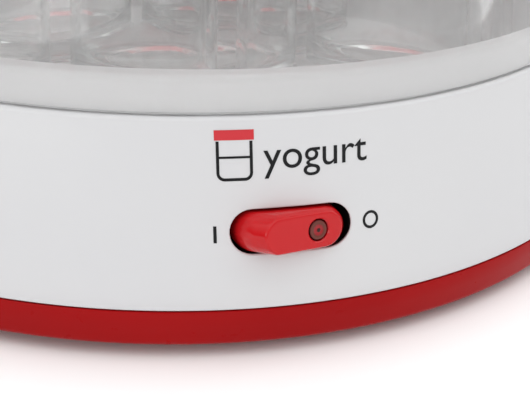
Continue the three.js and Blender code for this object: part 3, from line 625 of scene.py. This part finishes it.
def cover():
    """Clear cover: a slightly tapered skirt, a round shoulder and a shallow dome."""
    shoulder_r, shoulder_z, corner, wall = 108.6, 106.0, 15.0, 2.0

    def shoulder(offset, count=20):
        return arc(shoulder_r - corner, shoulder_z, corner - offset, 0, 84, count)

    def dome(edge, top, count=8):
        shares = [1 - k / count for k in range(1, count + 1)]
        return [(edge[0] * share, top - (top - edge[1]) * share ** 2) for share in shares]

    outer, inner = shoulder(0), shoulder(wall)
    profile = [*reversed(dome(inner[-1], COVER_TOP - wall)), *reversed(inner),
               (COVER_R - wall, COVER_Z + 0.4), (COVER_R - wall + 0.3, COVER_Z), (COVER_R - 0.4, COVER_Z),
               (COVER_R, COVER_Z + 0.4), *outer, *dome(outer[-1], COVER_TOP)]
    placed(turned_piece("clear_cover", profile, CLEAR, 320), "cover", "clear_plastic", "cover")


# ---------- jars ----------

def jar_profile():
    """Pressed glass jar: a raised punt below, a thick base, a rounded shoulder and a rolled mouth."""
    outer = [(0, 1.0), (18, 0.7), *arc(21.0, 1.5, 1.5, 200, 270, 4), *arc(26.4, 3.6, 3.6, -90, 0, 10),
             (30, 57.0), *arc(26.5, 57.0, 3.5, 0, 55, 8), *arc(30.2, 63.4, 3.4, 233, 180, 8),
             *arc(26.2, 74.9, 0.6, 0, 30, 3)]
    lip = arc(25.6, 74.8, 1.2, 10, 170, 8)
    inner = [(24.4, 64.5), *arc(22.6, 57.5, 4.8, 62, 0, 8), *arc(20.4, 12.0, 7.0, 0, -90, 12), (0, 4.6)]
    return [*outer, *lip, *inner]


def lid_profile():
    """Push-on lid: a rounded top edge, a shallow dish on top and a plain band below the grip ribs."""
    under, top, foot = 76.3, 78.0, 64.8
    return [(0, under), (27.3, under), (27.7, under - 0.4), (27.7, foot + 0.4), (28.0, foot), (29.1, foot),
            (29.5, foot + 0.4), (29.5, foot + 1.8), (29.3, foot + 2.2), (29.3, foot + 2.6),
            (29.3, top - 2.4), (29.3, top - 2.0), *arc(28.1, top - 1.2, 1.2, 0, 90, 6), (25.6, top),
            (25.0, top - 0.2), (24.4, top - 0.55), (23.6, top - 0.6), (0, top - 0.6)]


def grip(angle, r, z):
    """Depth of the grooves between the lid's grip ribs."""
    ribs, amplitude = 72, 0.22
    return amplitude * (1 - math.cos(ribs * angle)) if 67.2 < z < 75.8 and r > 29 else 0.0


def jars():
    glass = turned_piece("glass_jar_1", jar_profile(), GLASS, 144, crease=50)
    lid = turned_piece("push_lid_1", lid_profile(), LID_RED, 432, grip)
    kinds = ((glass, "glass_jar", "jar", "jar_glass"), (lid, "push_lid", "jar_lid", "red_lid_plastic"))
    for i in range(1, 8):
        base_z = box_mm(f"jar_{i}")[0].z
        for first, stem, node, slot in kinds:
            piece = copy_of(first, stem, i)
            piece.location = Vector((*middle_of(f"jar_{i}"), base_z)) * MM
            placed(piece, f"{node}_{i}", slot, f"{node}_{i}")


# ---------- switch ----------

LENS_R = 2.05
CREST_X, CREST_HEIGHT = -5.3, 12.75
O_SLOPE, I_SLOPE = math.tan(math.radians(22.3)), math.tan(math.radians(41))
ROCKER_HALF, ROCKER_WIDTH = 11.5, 4.1
FLANK, FLANK_SLOPE = 0.55, 2.4  # the band between the O face and the rocker's edge
NOSE_ROUND, NOSE_DROP = 4.5, 7.7  # half axes of the nose's cross-section
LENS_X = 5.9


def rocker_frame():
    """The rocker's frame at rest: its pivot is the origin, x runs along it and -y points out."""
    turned_in = Matrix.Rotation(-LEAN, 4, "X") @ Matrix.Rotation(-ROCKER_REST, 4, "Z")
    return Matrix.Translation(PIVOT) @ turned_in


def rocker_height(x, z):
    """Height of the rocker's face: a flat O face with a sloping flank meets a round nose on the I side."""
    from_spine = math.hypot(max(abs(x) - ROCKER_HALF + ROCKER_WIDTH, 0), z)
    on_flank = from_spine - ROCKER_WIDTH + FLANK
    fall_off = FLANK_SLOPE * (on_flank + math.hypot(on_flank, 0.12)) / 2
    flat = CREST_HEIGHT - (x - CREST_X) * O_SLOPE - fall_off
    fall = NOSE_DROP * (1 - math.sqrt(1 - (from_spine / NOSE_ROUND) ** 2))
    nose = CREST_HEIGHT + (x - CREST_X) * I_SLOPE - fall
    softness = 0.3
    return (flat + nose - math.hypot(flat - nose, softness)) / 2


def rocker():
    bm = bmesh.new()
    spokes, steps = 240, 72
    shares = [1 - (k / steps) ** 1.5 for k in range(steps)]
    loops = []
    for share in shares:
        loop = []
        for i in range(spokes):
            a = 2 * math.pi * i / spokes
            reach = share * stadium_reach(a, ROCKER_HALF, ROCKER_WIDTH) * 0.9999
            x, z = reach * math.cos(a), reach * math.sin(a)
            loop.append(bm.verts.new((x, -rocker_height(x, z), z)))
        loops.append(loop)
    tip = bm.verts.new((0, -rocker_height(0, 0), 0))
    for a, b in zip(loops, loops[1:]):
        bridge(bm, a, b)
    for i in range(spokes):
        bm.faces.new((loops[-1][i], loops[-1][(i + 1) % spokes], tip))
    hem = [bm.verts.new((v.co.x, 0.0, v.co.z)) for v in loops[0]]
    bridge(bm, loops[0], hem)
    bm.faces.new(hem)
    body = finished("rocker_cap", bm, ROCKER_RED, 40)
    bore = bmesh.new()
    turned(bore, [(0, -3.2), (2.3, -3.2), (2.3, -0.25), (2.6, 0.05), (2.6, 3), (0, 3)], 64)
    bmesh.ops.transform(bore, matrix=lens_seat(), verts=bore.verts)
    combined(body, bore, "DIFFERENCE")
    body.data.transform(rocker_frame())
    placed(body, "rocker", "red_plastic", "rocker")

    lens = turned_piece("lens_cap", [
        (0, -2.6), (LENS_R, -2.6), (LENS_R, -0.5), *arc(LENS_R - 0.35, -0.5, 0.35, 0, 90, 5),
        (1.25, -0.18), (1.0, -0.3), (0.62, -0.3), (0.4, -0.14), (0, -0.1)], lens_plastic(), 64)
    seat = lens_seat()
    seat.translation *= MM
    lens.matrix_world = rocker_frame() @ seat
    placed(lens, "rocker", "lens_plastic", "indicator_lens")


def lens_seat():
    """From a shape about +Z, its origin on the O face and +Z outwards, to the rocker's frame."""
    height = CREST_HEIGHT - (LENS_X - CREST_X) * O_SLOPE
    return (Matrix.Translation((LENS_X, -height, 0)) @ Matrix.Rotation(math.atan(O_SLOPE), 4, "Z")
            @ Matrix.Rotation(math.pi / 2, 4, "X"))


# ---------- printed marks ----------

INK_FOOT, INK_FACE = -0.02, -0.05  # depths of a printed ribbon, which stands out of the wall


def printed(name, material, strokes):
    """Ribbons of ink on the housing wall. Each stroke is (points in mm from the switch's middle, width)."""
    bm = bmesh.new()
    for points, width in strokes:
        closed = points[0] == points[-1]
        points = points[:-1] if closed else points
        count = len(points)
        sides = []
        for i, (x, y) in enumerate(points):
            before = points[(i - 1) % count] if closed or i else points[i]
            after = points[(i + 1) % count] if closed or i < count - 1 else points[i]
            along = Vector((after[0] - before[0], after[1] - before[1])).normalized() * (width / 2)
            sides.append([(x - along.y, y + along.x), (x + along.y, y - along.x)])
        verts = []
        for left, right in sides:
            corners = [(left, INK_FOOT), (left, INK_FACE), (right, INK_FACE), (right, INK_FOOT)]
            verts.append([bm.verts.new(SWITCH_SLOT.point(*at, depth)) for at, depth in corners])
        for i in range(count if closed else count - 1):
            bridge(bm, verts[i], verts[(i + 1) % count])
        if not closed:
            bm.faces.new(verts[0])
            bm.faces.new(verts[-1])
    return placed(finished(name, bm, material), "base", "label_film")


def circle_points(cx, cy, rx, ry, count=40):
    points = [(cx + rx * math.cos(2 * math.pi * i / count), cy + ry * math.sin(2 * math.pi * i / count))
              for i in range(count)]
    return [*points, points[0]]


def lettering(name, text, size, at):
    """Plain upright lettering on the wall. Its lower left corner is at a point from the switch's middle."""
    curve = bpy.data.curves.new(name, "FONT")
    curve.body, curve.size, curve.resolution_u = text, size, 6
    holder = bpy.data.objects.new(name, curve)
    bpy.context.scene.collection.objects.link(holder)
    flat = bpy.data.meshes.new_from_object(holder.evaluated_get(bpy.context.evaluated_depsgraph_get()))
    bpy.data.objects.remove(holder)
    bm = bmesh.new()
    bm.from_mesh(flat)
    bmesh.ops.remove_doubles(bm, verts=bm.verts, dist=1e-5)
    made = bmesh.ops.extrude_face_region(bm, geom=bm.faces[:])
    raised = {v for v in made["geom"] if isinstance(v, bmesh.types.BMVert)}
    for vert in bm.verts:
        depth = -0.06 if vert in raised else INK_FOOT
        vert.co = SWITCH_SLOT.point(at[0] + vert.co.x, at[1] + vert.co.y, depth)
    return placed(finished(name, bm, INK), "base", "label_film")


def marks():
    """The switch's on and off marks, and above it a plain jar pictogram with the word for what it makes."""
    printed("mark_on", INK, [([(-15.55, -1.9 + 0.49 * i) for i in range(8)], 0.66)])
    printed("mark_off", INK, [(circle_points(17.0, 0.1, 1.5, 1.6), 0.56)])
    left, right, foot, top = -14.6, -8.0, 10.8, 20.0
    corner = 1.3
    turns = [math.radians(15 * i) for i in range(7)]
    outline = [(left, top - 1.6 - 0.5 * i) for i in range(13)]
    curve = [(corner * math.cos(a), corner * math.sin(a)) for a in turns]
    outline += [(left + corner - across, foot + corner - up) for across, up in curve]
    outline += [(right - corner + up, foot + corner - across) for across, up in curve]
    outline += [(right, top - 1.6 - 0.5 * i) for i in range(12, -1, -1)]
    level = [(left + 0.3 + 0.6 * i, foot + 4.4) for i in range(11)]
    printed("pictogram_jar", INK, [(outline, 0.6), (level, 0.45)])
    printed("pictogram_lid", RED_INK, [([(left - 0.6 + 0.65 * i, top - 0.4) for i in range(13)], 2.0)])
    lettering("lettering", "yogurt", 8.2, (-5.6, 12.6))


# ---------- cord inlet ----------

def gland():
    """Light rubber gland: a collar and a flange that follows the cone, round the bore for the cord."""
    z = (gland_low.z + gland_high.z) / 2
    face = gland_high.y
    bm = bmesh.new()
    turned(bm, [(3.2, 111.0), (7, 111.0), (7, face - 2.1), *arc(6.5, face - 2.1, 0.5, 0, 90, 4),
                (5.9, face - 1.6), (5.6, face - 1.3), *arc(5.1, face - 0.5, 0.5, 0, 90, 4),
                *arc(3.8, face - 0.6, 0.6, 90, 180, 4)], 96)
    bmesh.ops.rotate(bm, matrix=Matrix.Rotation(-math.pi / 2, 3, "X"), verts=bm.verts)
    bmesh.ops.translate(bm, vec=(0, 0, z), verts=bm.verts)
    piece = finished("inlet_gland", bm, GLAND_GREY)
    wall = bmesh.new()
    turned(wall, [(105, 0), (housing_radius(0) + 0.2, 0), (housing_radius(40) + 0.2, 40), (105, 40)], 360)
    combined(piece, wall, "DIFFERENCE")
    placed(piece, "base", "gland_rubber", "cord_gland")


# ---------- CAD nodes that stay ----------

KEPT = {
    "steel": (STEEL, [n for n in nodes if "screw" in n] + ["rocker_pin", "plunger_spring", "thermal_fuse"]),
    "aluminium": (ALUMINIUM, ["heater_plate", "heat_shield"]),
    "brass": (BRASS, ["lamp_terminal", "common_terminal", "load_terminal", "contact_lever"]),
    "nylon": (NYLON, ["plunger", "terminal_block"]),
    "black_nylon": (BLACK_NYLON, ["switch_body"]),
    "heater_silicone": (SILICONE, ["heating_cord"]),
    "insulation_fibre": (felt(), ["insulation_pad"]),
    "lead_brown": (BROWN, ["lead_line", "lead_switched"]),
    "lead_blue": (BLUE, ["lead_lamp", "lead_neutral"]),
    "label_film": (LABEL, ["rating_label"]),
    "lamp_glass": (clear("lamp_glass", (0.95, 0.75, 0.6), 1.5, 0.02, 400).made, ["indicator_lamp"]),
}


def dress_kept():
    for slot, (material, names) in KEPT.items():
        for name in names:
            nodes[name].data.materials.clear()
            nodes[name].data.materials.append(material)


camera()
studio()
housing()
base()
feet()
tray()
cover()
jars()
rocker()
marks()
gland()
dress_kept()
